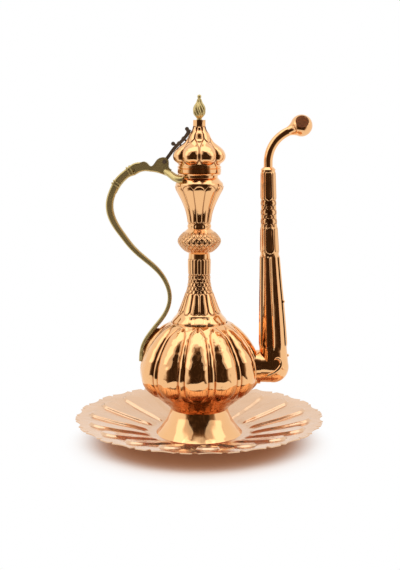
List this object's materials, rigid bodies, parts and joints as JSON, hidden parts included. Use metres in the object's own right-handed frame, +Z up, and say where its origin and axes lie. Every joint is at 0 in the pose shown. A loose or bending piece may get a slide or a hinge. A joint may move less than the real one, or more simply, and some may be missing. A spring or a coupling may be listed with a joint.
{
  "type": "ewer_with_tray",
  "caption": "Copper ewer with a gadrooned belly, tall side spout ending in a hollow ball, brass S-handle and hinged lid, standing on its fluted scalloped tray.",
  "frame": {"origin": "middle of the tray's underside, on the pot's axis, at table height", "axes": "+Z up, +X towards the spout, -Y towards the viewer of the picture"},
  "size_m": [0.296, 0.296, 0.4044],
  "materials": {
    "copper": "polished, lightly hammered copper",
    "brass": "antique cast brass",
    "dark_bronze": "dark patinated bronze"
  },
  "bodies": {
    "tray": {"tray": "copper"},
    "pot": {"foot": "copper", "belly": "copper", "lower_neck": "copper", "neck_knop": "copper", "upper_neck": "copper", "mouth_collar": "copper", "handle": "brass", "hinge_pin": "dark_bronze", "spout_collar": "copper", "spout_stub": "copper", "spout_heel": "copper", "spout_body": "copper", "spout_shoulder": "copper", "spout_gooseneck": "copper", "spout_mouth": "copper", "spout_beads": "copper"},
    "lid": {"lid_dome": "copper", "lid_band": "copper", "lid_plug": "copper", "lid_ferrule": "copper", "finial": "brass", "finial_nut": "brass", "hinge_strap": "dark_bronze", "strap_rivets": "dark_bronze"}
  },
  "joints": [
    {"name": "pot_lift", "type": "slide", "parent": "tray", "child": "pot", "axis": [0, 0, 1], "range_m": [0, 0.08]},
    {"name": "lid_hinge", "type": "hinge", "parent": "pot", "child": "lid", "pos_m": [-0.0409, 0, 0.3258], "axis": [0, -1, 0], "range_deg": [0, 95]}
  ]
}
